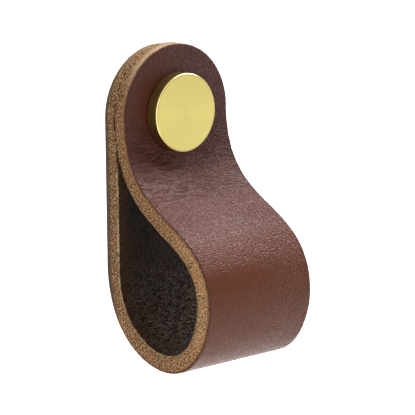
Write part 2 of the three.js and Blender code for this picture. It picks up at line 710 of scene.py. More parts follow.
@dataclass(frozen=True)
class GrainFinish:
    """Dyed grain side: reddish brown, pebbled, lighter where the bend pulls it, with painted shade in its
    pores and folds.

    Each span says where a mask is 0 and where it is 1: by height over the
    button's axis, by X, by strain, or by how far a point is from the middle.
    """

    body: Colour = linear("682c1a")
    uneven: Colour = linear("7b3625")
    pulled: Colour = linear("6e350f")
    rusty: Colour = linear("8c3a22")
    clamped: Colour = linear("501f12")
    recess_shade_and_speck: Colour = linear("2c1613")
    # Painted shade for pores and fold valleys, also used for fine random specks.
    sheen: Colour = linear("9c7674")
    rim: Colour = linear("3a1c12")

    pebble_cell: float = 0.36
    fold_pitch: float = 0.8
    fold_length: float = 5.0
    blotches: Patches = Patches(6.0, 2.2)
    haze: Patches = Patches(1.6, 2.0)
    specks: Patches = Patches(0.3, 4.0)
    glints: Patches = Patches(0.24, 6.0)

    stretched: Span = (0.0, 0.12)
    pressed: Span = (-0.005, -0.07)
    front_bend_top: Span = (-21.0, -24.5)
    front_bend_foot: Span = (-30.0, -26.0)
    held: Span = (-18.0, -7.5)
    below_button: Span = (-7.0, -15.0)
    above_bend: Span = (-27.0, -20.0)
    upper_slope: Span = (-21.0, -14.0)
    near_side: Span = (6.0, -9.0)
    far_side: Span = (-2.0, 12.0)
    rim_band: Span = (13.35, 13.75)

    roughness: float = 0.44
    haze_roughness: float = 0.12
    glint_roughness: float = -0.26
    specular: float = 0.21
    relief: float = 0.2 * MM

    def marks(self, board: NodeBoard, space: Socket, pores: Socket, valleys: Socket) -> Socket:
        """Marks pores and pressed folds for painted shade, and fine specks of random tone.

        Args:
            board: The material's board.
            space: Places in space.
            pores: The pores between pebbles.
            valleys: The pressed folds.

        Returns:
            The mask of pores, folds and fine specks.
        """
        deep = board.math("MAXIMUM", pores, valleys)
        return board.math("MAXIMUM", deep, board.times(self.specks.mask(board, space), 0.9))

    def pebble_strength(self, board: NodeBoard, space: Socket, stretch: Socket, rounded: Socket) -> Socket:
        """Says how strongly the pebble stands out, which also dulls the sheen.

        Args:
            board: The material's board.
            space: Places in space.
            stretch: Where the bend pulls the grain smooth.
            rounded: The upper part of the front bend.

        Returns:
            The strength, 1 where the grain is as it grew.
        """
        x, _, z = board.split(space)
        drawn_tight = board.times(board.ramp(z, self.upper_slope), board.ramp(x, self.near_side))
        return board.total(
            1.32, (stretch, -1.0), (rounded, 0.8), (drawn_tight, -0.85), (board.ramp(x, self.far_side), 0.62)
        )

    def material(self) -> bpy.types.Material:
        """Builds the grain side's material.

        Returns:
            The material.
        """
        material, board, shader = new_material("leather_grain")
        place = board.place(SurfacePlace())
        space = place["Space"]
        _, _, z = board.split(space)
        bend = board.trace(Trace.BEND)
        stretch = board.ramp(bend, self.stretched)
        rounded = board.times(board.ramp(z, self.front_bend_top), board.ramp(z, self.front_bend_foot))
        sloping = board.times(board.ramp(z, self.above_bend), board.ramp(z, self.below_button))

        pebble = board.place(HidePebble(), Place=space, Cell=self.pebble_cell)
        folds = board.place(
            PressedFolds(), Place=place["Face"], Pitch=self.fold_pitch, Length=self.fold_length
        )
        valleys = board.times(folds["Valleys"], board.ramp(bend, self.pressed))
        haze = self.haze.mask(board, space)
        glint = self.glints.mask(board, space)

        colour = board.glaze(
            board.blend(self.blotches.mask(board, space), self.body, self.uneven),
            (stretch, 0.85, self.pulled),
            (rounded, 0.3, self.rusty),
            (board.ramp(z, self.held), 0.9, self.clamped),
            # Painted shade in pores and fold valleys, with fine random specks.
            (self.marks(board, space, pebble["Pores"], valleys), 0.55, self.recess_shade_and_speck),
            (board.times(glint, sloping), 0.24, self.sheen),
            (board.ramp(place["Aside"], self.rim_band), 0.45, self.rim),
        )
        board.feed(shader.inputs["Base Color"], colour)
        rough = board.total(self.roughness, (haze, self.haze_roughness), (glint, self.glint_roughness))
        board.feed(shader.inputs["Roughness"], rough)
        shader.inputs["Specular IOR Level"].default_value = self.specular
        grainy = board.times(pebble["Height"], self.pebble_strength(board, space, stretch, rounded))
        add_bump(board, shader, board.total(grainy, (valleys, -0.9)), self.relief)
        return material


@dataclass(frozen=True)
class CutEdgeFinish:
    """Raw cut edge: matted tan fibre, dyed at the grain corner, frayed inside.

    Each span says where a mask is 0 and where it is 1: by height over the
    button's axis, by Y out of the door, or by the place through the leather.
    """

    fibre: Colour = linear("7c502a")
    # The lighter fibre colour is painted light.
    highlit_fibre: Colour = linear("c69360")
    shade: Colour = linear("623a1c")
    golden: Colour = linear("a4622a")
    pale: Colour = linear("e2c498")
    pit: Colour = linear("341d0d")
    burnish: Colour = linear("5c4a3a")
    # Burnish at the rear layer's crown, lighter there as a painted highlight.
    crown_burnish_highlight: Colour = linear("9c7c60")
    front_burnish: Colour = linear("9a683e")
    # Burnish at the front layer's crown, lighter there as a painted highlight.
    top_burnish_highlight: Colour = linear("e8c8a2")
    dye: Colour = linear("4c2b1b")

    mottle_size: float = 0.36
    mottle_stretch: float = 0.5
    blotches: Patches = Patches(1.9, 3.2)
    tints: Patches = Patches(0.8, 5.0)
    streaks: Patches = Patches(0.35, 2.6)

    crown: Span = (1.0, 13.0)
    front_layer: Span = (-1.5, -5.5)
    bow: Span = (-14.0, -28.0)
    foot: Span = (-40.0, -47.0)
    above_bow: Span = (-36.0, -27.0)
    seam: Span = (-14.0, -9.0)
    outer_half: Span = (-0.9, 0.2)
    fibre_tone: Span = (0.42, 0.6)

    fray: float = 0.15
    roughness: float = 0.85
    specular: float = 0.25
    relief: float = 0.32 * MM

    def fibre_with_painted_light(
        self, board: NodeBoard, crown: Socket, front: Socket, bowed: Socket, foot: Socket
    ) -> Socket:
        """Colours the fibre with painted light: lighter on the front layer, at the bow's front, at the crown
        and towards the outer half, and darker at the foot.

        Args:
            board: The material's board.
            crown: The top of the round ends.
            front: The front layer.
            bowed: The bow's front.
            foot: The bottom of the loop.

        Returns:
            The fibre's colour.
        """
        forward = board.total(0.0, (front, 0.2), (bowed, 0.75), (crown, 0.5), clamp=True)
        outward = board.ramp(board.trace(Trace.THROUGH), self.outer_half)
        lit = board.times(forward, board.total(0.5, (outward, 0.7)), board.total(1.0, (foot, -0.4)))
        return board.blend(lit, self.fibre, self.highlit_fibre)

    def burnished(self, board: NodeBoard, crown: Socket, front: Socket) -> Socket:
        """Colours the rubbed part of the edge, lighter at the crown as a painted highlight.

        Args:
            board: The material's board.
            crown: The top of the round ends.
            front: The front layer.

        Returns:
            The burnished colour.
        """
        rear_layer = board.blend(crown, self.burnish, self.crown_burnish_highlight)
        front_layer = board.blend(crown, self.front_burnish, self.top_burnish_highlight)
        return board.blend(front, rear_layer, front_layer)

    def material(self) -> bpy.types.Material:
        """Builds the cut edge's material.

        Returns:
            The material.
        """
        material, board, shader = new_material("leather_cut_edge")
        place = board.place(SurfacePlace())
        space = place["Space"]
        _, y, z = board.split(space)
        crown = board.ramp(z, self.crown)
        front = board.ramp(y, self.front_layer)
        foot = board.ramp(z, self.foot)
        calm = board.times(front, board.ramp(z, self.above_bow))

        mottle = board.place(
            FibreMottle(), Place=place["Edge"], Size=self.mottle_size, Stretch=self.mottle_stretch
        )
        tint = self.tints.mask(board, space)
        streaks = self.streaks.mask(board, place["Layers"])
        corner = board.place(
            CornerLines(),
            Place=space,
            Line=board.total(0.17, (foot, 0.12)),
            # The burnish reaches further at the front layer's crown, where it carries a painted highlight.
            Burnish=board.total(0.95, (front, -0.35), (board.times(crown, front), 0.75)),
            Fray=self.fray,
        )

        # The fibre carries painted light.
        fibre = self.fibre_with_painted_light(board, crown, front, board.ramp(y, self.bow), foot)
        colour = board.glaze(
            board.blend(self.blotches.mask(board, space), self.shade, fibre),
            (tint, 0.45, self.golden),
            (board.ramp(mottle["Tone"], self.fibre_tone), 1.0, fibre),
            (mottle["Ends"], board.total(0.94, (calm, -0.15)), self.pale),
            (mottle["Pits"], board.total(1.0, (calm, -0.15)), self.pit),
            (
                corner["Burnished"],
                board.total(0.7, (front, -0.5), (streaks, 0.6), clamp=True),
                self.burnished(board, crown, front),
            ),
            (
                corner["Frayed"],
                board.total(0.15, (tint, 0.7)),
                board.blend(board.ramp(z, self.seam), self.pale, self.pit),
            ),
            (corner["Dyed"], 0.85, self.dye),
        )
        board.feed(shader.inputs["Base Color"], colour)
        shader.inputs["Roughness"].default_value = self.roughness
        shader.inputs["Specular IOR Level"].default_value = self.specular
        add_bump(board, shader, mottle["Tone"], self.relief)
        return material


@dataclass(frozen=True)
class FleshFinish:
    """Flesh side inside the loop: nearly black brown, napped and crumpled, with painted light where it bows
    and painted shade in its folds and high up.

    Each span says where a mask is 0 and where it is 1: by strain, by height
    over the button's axis, or by how far a point is from the middle.
    """

    deep: Colour = linear("1f100a")
    warm: Colour = linear("3e2210")
    # Nap colour, also laid on as painted light where the flesh bows.
    nap: Colour = linear("574030")
    glint: Colour = linear("8a7562")
    # Painted shade high up inside the loop.
    dark: Colour = linear("140b07")
    edge_warm: Colour = linear("54341b")

    mottle_size: float = 0.42
    mottle_stretch: float = 0.7
    pebble_cell: float = 0.5
    fold_pitch: float = 0.62
    fold_length: float = 1.6
    fold_slant: float = 0.12
    blotches: Patches = Patches(8.0, 2.4)
    glints: Patches = Patches(0.34, 7.0)

    bow: Span = (0.02, 0.12)
    painted_shade_height: Span = (-36.0, -20.0)
    edge_band: Span = (9.4, 13.8)

    roughness: float = 0.5
    bow_roughness: float = -0.18
    specular: float = 0.1
    relief: float = 0.8 * MM

    def material(self) -> bpy.types.Material:
        """Builds the flesh side's material.

        Returns:
            The material.
        """
        material, board, shader = new_material("leather_flesh")
        place = board.place(SurfacePlace())
        space = place["Space"]
        _, _, z = board.split(space)
        bowed = board.ramp(board.trace(Trace.BEND), self.bow)
        mottle = board.place(FibreMottle(), Place=space, Size=self.mottle_size, Stretch=self.mottle_stretch)
        pebble = board.place(HidePebble(), Place=space, Cell=self.pebble_cell)
        folds = board.place(
            PressedFolds(),
            Place=place["Face"],
            Pitch=self.fold_pitch,
            Length=self.fold_length,
            Slant=self.fold_slant,
        )
        valleys = board.times(folds["Valleys"], bowed)

        colour = board.glaze(
            board.blend(self.blotches.mask(board, space), self.deep, self.warm),
            # Painted light: the bowed flesh is lighter and glints more.
            (bowed, 0.12, self.nap),
            (mottle["Ends"], board.total(0.45, (bowed, 0.3)), self.nap),
            (self.glints.mask(board, space), board.total(0.12, (bowed, 0.38)), self.glint),
            # Painted shade in the fold valleys.
            (valleys, 0.85, self.deep),
            # Painted shade: darker high up inside the loop.
            (board.ramp(z, self.painted_shade_height), 0.6, self.dark),
            (board.ramp(place["Aside"], self.edge_band), 1.0, self.edge_warm),
        )
        board.feed(shader.inputs["Base Color"], colour)
        board.feed(shader.inputs["Roughness"], board.total(self.roughness, (bowed, self.bow_roughness)))
        shader.inputs["Specular IOR Level"].default_value = self.specular
        height = board.total(pebble["Height"], (mottle["Tone"], 1.6), (valleys, -1.2))
        add_bump(board, shader, height, self.relief)
        return material


@dataclass(frozen=True)
class FibreFinish:
    """Loose fibre ends, in one dye."""

    name: str
    tint: Colour
    shade: Colour
    blotches: Patches = Patches(0.7, 4.0)
    roughness: float = 0.8
    specular: float = 0.2

    def material(self) -> bpy.types.Material:
        """Builds a material whose tone varies from fibre to fibre.

        Returns:
            The material.
        """
        material, board, shader = new_material(self.name)
        space = board.place(SurfacePlace())["Space"]
        blotch = self.blotches.mask(board, space)
        board.feed(shader.inputs["Base Color"], board.blend(blotch, self.shade, self.tint))
        shader.inputs["Roughness"].default_value = self.roughness
        shader.inputs["Specular IOR Level"].default_value = self.specular
        return material


@dataclass(frozen=True)
class BrassFinish:
    """Satin turned brass with faint rings and soft handling marks.

    The two bands say, by distance from the button's axis, where the bevel and
    its painted highlight begin and where the head's side begins.
    """

    bright: Colour = linear("c0b16c")
    dull: Colour = linear("bbac65")
    # Painted highlight along the bevel.
    bevel_highlight: Colour = linear("e6d798")
    blotches: Patches = Patches(2.4, 1.6)
    bevel_band: Span = (7.82, 7.87)
    side_band: Span = (7.96, 7.99)
    roughness: float = 0.205
    blotch_roughness: float = 0.03
    side_roughness: float = 0.08
    ring_pitch: float = 0.09
    ring_wobble: float = 0.03
    relief: float = 0.002 * MM

    def material(self) -> bpy.types.Material:
        """Builds the button's material.

        Returns:
            The material.
        """
        material, board, shader = new_material("satin_brass")
        space = board.place(SurfacePlace())["Space"]
        blotch = self.blotches.mask(board, space)
        x, _, z = board.split(space)
        radius = board.math("SQRT", board.total(board.times(x, x), (z, z)))
        beside = board.ramp(radius, self.side_band)
        bevel = board.math("SUBTRACT", board.ramp(radius, self.bevel_band), beside)
        satin = board.blend(blotch, self.dull, self.bright)
        # The bevel's lighter colour is a painted highlight.
        board.feed(shader.inputs["Base Color"], board.blend(bevel, satin, self.bevel_highlight))
        rough = board.total(self.roughness, (blotch, self.blotch_roughness), (beside, self.side_roughness))
        board.feed(shader.inputs["Roughness"], rough)
        shader.inputs["Metallic"].default_value = 1.0
        wobbled = board.total(radius, (blotch, self.ring_wobble))
        rings = board.math("SINE", board.times(wobbled, math.tau / self.ring_pitch))
        add_bump(board, shader, rings, self.relief)
        return material


@dataclass
class Stations:
    """Cross-sections of the strap in order, one row each.

    The middles and grain sides hold Y and Z. A station also has the leather's
    thickness, how far the outline has turned round its end, the depth at which
    its layer is clamped, which way its grain faces there, its place along the
    strap and how the bend strains its grain side.
    """

    middle: np.ndarray
    grain_side: np.ndarray
    thickness: np.ndarray
    turn: np.ndarray
    layer_depth: np.ndarray
    facing: np.ndarray
    run: np.ndarray
    bend: np.ndarray


@dataclass
class FoldLine:
    """The line that the strap is folded along, in the plane x = 0.

    Depths are out of the door and drops below the button's axis. The starts
    and ends of the bends are shares of their own height or depth along which
    they leave and arrive straight. A swell run is the length over which a layer
    regains a millimetre of its thickness below the button.
    """

    half_width: float
    loop_drop: float
    loop_depth: float
    front_end_reach: float
    rear_end_reach: float = 13.3 * MM
    thickness: float = 3.6 * MM
    clamped: float = 3.0 * MM
    layer_gap: float = 0.15 * MM
    rear_flat_drop: float = 30.2 * MM
    lowest_point_depth: float = 17.3 * MM
    frontmost_point_drop: float = 35.5 * MM
    rear_bend_start: float = 0.75
    rear_bend_end: float = 0.37
    front_bend_start: float = 0.82
    front_bend_end: float = 0.21
    slope_start: float = 0.51
    slope_end: float = 0.68
    rear_swell_run: float = 16.5
    front_swell_run: float = 46.0
    bend_softness: float = 6.0 * MM
    bell_reach: float = 2.5
    least_step: float = 1e-7

    @property
    def front_layer_depth(self) -> float:
        """Depth of the middle of the front layer under the button."""
        return 1.5 * self.clamped + self.layer_gap

    def curves(self) -> list[np.ndarray]:
        """Lays out the free stretches of the fold.

        Returns:
            The control points of the rear bend, the front bend and the slope.
        """
        half = self.thickness / 2
        leave = np.array([-half, -self.rear_flat_drop])
        low = np.array([-self.lowest_point_depth, -self.loop_drop + half])
        front = np.array([-self.loop_depth + half, -self.frontmost_point_drop])
        top = np.array([-self.front_layer_depth, self.front_end_reach - self.half_width])
        rear_span = leave - low
        front_span = np.array([low[0] - front[0], front[1] - low[1]])
        slope_height = top[1] - front[1]
        return [
            np.array([
                leave,
                leave - [0, self.rear_bend_start * rear_span[1]],
                low + [self.rear_bend_end * rear_span[0], 0],
                low,
            ]),
            np.array([
                low,
                low - [self.front_bend_start * front_span[0], 0],
                front - [0, self.front_bend_end * front_span[1]],
                front,
            ]),
            np.array([
                front,
                front + [0, self.slope_start * slope_height],
                top - [0, self.slope_end * slope_height],
                top,
            ]),
        ]

    @staticmethod
    def cubic(control: np.ndarray, share: np.ndarray) -> np.ndarray:
        """Gives points of a cubic curve.

        Args:
            control: Its four control points.
            share: A column of shares of the way along it.

        Returns:
            One point for each share.
        """
        rest = 1 - share
        return (
            rest ** 3 * control[0]
            + 3 * rest ** 2 * share * control[1]
            + 3 * rest * share ** 2 * control[2]
            + share ** 3 * control[3]
        )

    def walk(self, control: np.ndarray, cell: float) -> tuple[np.ndarray, np.ndarray]:
        """Steps evenly along a cubic curve, without its last point.

        Args:
            control: Its four control points.
            cell: About how long a step is.

        Returns:
            The points and the unit directions there.
        """
        fine = np.linspace(0, 1, 400)[:, None]
        chords = np.linalg.norm(np.diff(self.cubic(control, fine), axis=0), axis=1)
        length = np.concatenate([[0], np.cumsum(chords)])
        steps = max(8, round(length[-1] / cell))
        share = np.interp(np.arange(steps) / steps * length[-1], length, fine[:, 0])[:, None]
        rest = 1 - share
        along = (
            rest ** 2 * (control[1] - control[0])
            + 2 * rest * share * (control[2] - control[1])
            + share ** 2 * (control[3] - control[2])
        )
        return self.cubic(control, share), along / np.linalg.norm(along, axis=1)[:, None]

    def swollen(self, height: np.ndarray, swell_run: float) -> np.ndarray:
        """Gives the leather's thickness at a height, squeezed at the button."""
        squeeze = self.thickness - self.clamped
        return self.clamped + squeeze * smoothstep(-height, 0, swell_run * squeeze)

    @staticmethod
    def plumb(depth: np.ndarray | float, height: np.ndarray) -> np.ndarray:
        """Gives middles at a depth and heights."""
        return np.column_stack([-np.broadcast_to(depth, len(height)), height])

    def lay(
        self,
        middle: np.ndarray,
        along: np.ndarray | Span,
        thickness: np.ndarray | float,
        turn: np.ndarray | float,
        rear: bool,
    ) -> tuple[np.ndarray, ...]:
        """Lays one stretch of cross-sections.

        Args:
            middle: Their middles.
            along: The way that the strap runs at each, or at all of them.
            thickness: The leather's thickness at each, or at all of them.
            turn: How far round its end the outline is at each, or at all of them.
            rear: Whether they belong to the rear layer.

        Returns:
            Middles, directions, thicknesses, turns, layer depths and facings.
        """
        count = len(middle)
        return (
            middle,
            np.broadcast_to(along, (count, 2)),
            np.broadcast_to(thickness, count),
            np.broadcast_to(turn, count),
            np.full(count, self.clamped / 2 if rear else self.front_layer_depth),
            np.full(count, 1.0 if rear else -1.0),
        )

    def strain(self, along: np.ndarray, run: np.ndarray, cell: float) -> np.ndarray:
        """Works out how sharply the strap bends, softened along it.

        Args:
            along: The way that the strap runs at each station.
            run: Each station's place along the strap.
            cell: About how far apart they are.

        Returns:
            The bend at each station, above 0 where the grain is stretched.
        """
        heading = np.unwrap(np.arctan2(along[:, 1], along[:, 0]))
        bend = -np.gradient(heading, run + self.least_step * np.arange(len(run)))
        reach = np.linspace(-self.bell_reach, self.bell_reach, 2 * round(self.bend_softness / cell) + 1)
        bell = np.exp(-reach * reach / 2)
        return np.convolve(np.pad(bend, len(bell) // 2, mode="edge"), bell / bell.sum(), mode="valid")

    def stations(self, cell: float) -> Stations:
        """Lays the cross-sections from the rear end round to the front end.

        Args:
            cell: About how far apart they are.

        Returns:
            The stations in order.
        """
        end_steps = round(self.half_width * QUARTER / cell)
        end_turn = np.arange(end_steps) / end_steps * QUARTER
        rear_top = self.rear_end_reach - self.half_width
        front_top = self.front_end_reach - self.half_width
        flat_rows = round((rear_top + self.rear_flat_drop) / cell)
        flat = rear_top - (rear_top + self.rear_flat_drop) * np.arange(flat_rows) / flat_rows
        flat_thickness = self.swollen(flat, self.rear_swell_run)
        rear_bend, front_bend, slope = (self.walk(curve, cell) for curve in self.curves())
        slope_thickness = self.swollen(slope[0][:, 1], self.front_swell_run)

        down, up = (0.0, -1.0), (0.0, 1.0)
        rear_end = self.plumb(self.clamped / 2, np.full(end_steps, rear_top))
        front_end = self.plumb(self.front_layer_depth, np.full(end_steps + 1, front_top))
        stretches = (
            self.lay(rear_end, down, self.clamped, end_turn, rear=True),
            self.lay(self.plumb(flat_thickness / 2, flat), down, flat_thickness, QUARTER, rear=True),
            self.lay(*rear_bend, self.thickness, QUARTER, rear=True),
            self.lay(*front_bend, self.thickness, QUARTER, rear=False),
            self.lay(*slope, slope_thickness, QUARTER, rear=False),
            self.lay(front_end, up, self.clamped, np.append(QUARTER, end_turn[::-1]), rear=False),
        )
        middle, along, thickness, turn, depth, facing = (np.concatenate(rows) for rows in zip(*stretches))

        tip = middle[:, 1] + self.half_width * np.cos(turn)
        line = np.column_stack([middle[:, 0], tip])
        run = np.concatenate([[0], np.cumsum(np.linalg.norm(np.diff(line, axis=0), axis=1))])
        return Stations(
            middle=middle,
            grain_side=np.column_stack([-along[:, 1], along[:, 0]]),
            thickness=thickness,
            turn=turn,
            layer_depth=depth,
            facing=facing,
            run=run,
            bend=self.strain(along, run, cell) * thickness / 2,
        )


@dataclass
class StrapSection:
    """The outline of a cross-section, from the grain side round to itself.

    Each point lies across the strap, reaches so far round a round end, and is
    at share * half the thickness + shift through the leather.
    """

    across: np.ndarray
    reach: np.ndarray
    share: np.ndarray
    shift: np.ndarray
    zone: np.ndarray

    @classmethod
    def cut(cls, half_width: float, rounding: float, cell: float) -> "StrapSection":
        """Lays out the section's points.

        Args:
            half_width: Half of the strap's width.
            rounding: Radius of the cut edges' corners.
            cell: About how far apart the points are on the faces.

        Returns:
            The section.
        """
        corner_steps = 4
        flat_steps = 8
        face_half = half_width - rounding
        columns = round(2 * face_half / cell)
        corner = np.linspace(0, QUARTER, corner_steps + 1)[1:]
        flat = np.linspace(1, -1, flat_steps + 1)[1:-1]
        face = np.linspace(-face_half, face_half, columns + 1)
        on_face = np.ones(len(face))
        on_corner = np.ones(corner_steps)

        bulge = face_half + rounding * np.sin(corner)
        inset = rounding * (1 - np.cos(corner))
        side_across = np.concatenate([bulge, np.full(len(flat), half_width), bulge[::-1]])
        side_share = np.concatenate([on_corner, flat, -on_corner])
        side_shift = np.concatenate([-inset, -rounding * flat, inset[::-1]])

        across = np.concatenate([face, side_across, face[::-1], -side_across[::-1]])
        share = np.concatenate([on_face, side_share, -on_face, side_share[::-1]])
        shift = np.concatenate([0 * on_face, side_shift, 0 * on_face, side_shift[::-1]])
        faces_each = (columns, len(side_across) + 1, columns, len(side_across) + 1)
        zone = np.repeat([Zone.GRAIN, Zone.CUT, Zone.FLESH, Zone.CUT], faces_each)
        zone[[columns, -1]] = Zone.GRAIN
        return cls(across, np.maximum(np.abs(across), face_half), share, shift, zone)


@dataclass
class SkinReading:
    """The points of a strap's skin, with their outward directions and traces.

    A point lies on a face when it is further through the leather than FACE.
    """

    FACE = 0.999

    place: np.ndarray
    normal: np.ndarray
    run: np.ndarray
    across: np.ndarray
    through: np.ndarray
    bend: np.ndarray

    @property
    def grain(self) -> np.ndarray:
        """Marks the points of the grain side."""
        return self.through > self.FACE

    @property
    def flesh(self) -> np.ndarray:
        """Marks the points of the flesh side."""
        return self.through < -self.FACE

    @classmethod
    def of(cls, mesh: bpy.types.Mesh) -> "SkinReading":
        """Reads a skin.

        Args:
            mesh: The skin.

        Returns:
            The reading.
        """
        count = len(mesh.vertices)
        vectors = []
        for name in ("co", "normal"):
            values = np.empty(count * 3)
            mesh.vertices.foreach_get(name, values)
            vectors.append(values.reshape(-1, 3))
        traces = {}
        for trace in Trace:
            values = np.empty(count, dtype=np.float32)
            mesh.attributes[trace.value].data.foreach_get("value", values)
            traces[trace.value] = values
        return cls(*vectors, **traces)


@dataclass(frozen=True)
class SkinRelief:
    """The forms of the skin's surface: how wide they are and how far they stand.

    Widths and heights are in millimetres. A fold's two sizes are its pitch along
    the strap and its length over it.
    """

    swell_width: float = 5.0
    pebble_width: float = 1.1
    nap_width: float = 0.9
    saw_mark_width: float = 0.7
    drift_width: float = 6.0
    drift_reach: float = 1.6
    fold: Triple = (1.6, 7.0, 1.0)
    inner_fold: Triple = (1.5, 4.0, 1.0)

    grain_swell: float = 0.08
    grain_pebble: float = 0.03
    grain_fold: float = 0.1
    flesh_swell: float = 0.16
    flesh_nap: float = 0.16
    flesh_fold: float = 0.35
    flesh_fold_least: float = 0.15
    saw_mark: float = 0.12

    compressed: Span = (0.005, 0.07)
    bowed: Span = (0.02, 0.12)

    def heights(self, skin: SkinReading, on_edge: np.ndarray) -> np.ndarray:
        """Works out how far each point stands out.

        Args:
            skin: The skin's points.
            on_edge: How far each point belongs to a cut edge.

        Returns:
            A height in millimetres for each point.
        """
        space = skin.place / MM
        over = np.column_stack([skin.run, skin.across, np.zeros(len(space))]) / MM
        swell = LatticeNoise(Seed.SWELL).layered(space / self.swell_width) - 0.5
        pebbles = LatticeNoise(Seed.PEBBLES).layered(space / self.pebble_width, 2) - 0.5
        drift = self.drift_reach * (LatticeNoise(Seed.DRIFT).layered(space / self.drift_width, 2) - 0.5)
        wandering = over + drift[:, None] * [1, 0, 0]
        folds = LatticeNoise(Seed.FOLDS).creases(wandering / self.fold)
        inner_folds = LatticeNoise(Seed.INNER_FOLDS).creases(wandering / self.inner_fold)
        nap = LatticeNoise(Seed.NAP).layered(space / self.nap_width) - 0.5
        saw_marks = LatticeNoise(Seed.SAW_MARKS).layered(space / self.saw_mark_width) - 0.5

        folded = smoothstep(-skin.bend, *self.compressed) * folds
        folded_inside = (self.flesh_fold_least + smoothstep(skin.bend, *self.bowed)) * inner_folds
        outside = self.grain_swell * swell + self.grain_pebble * pebbles + self.grain_fold * folded
        inside = self.flesh_swell * swell + self.flesh_nap * nap + self.flesh_fold * folded_inside
        return skin.grain * outside + skin.flesh * inside + on_edge * self.saw_mark * saw_marks


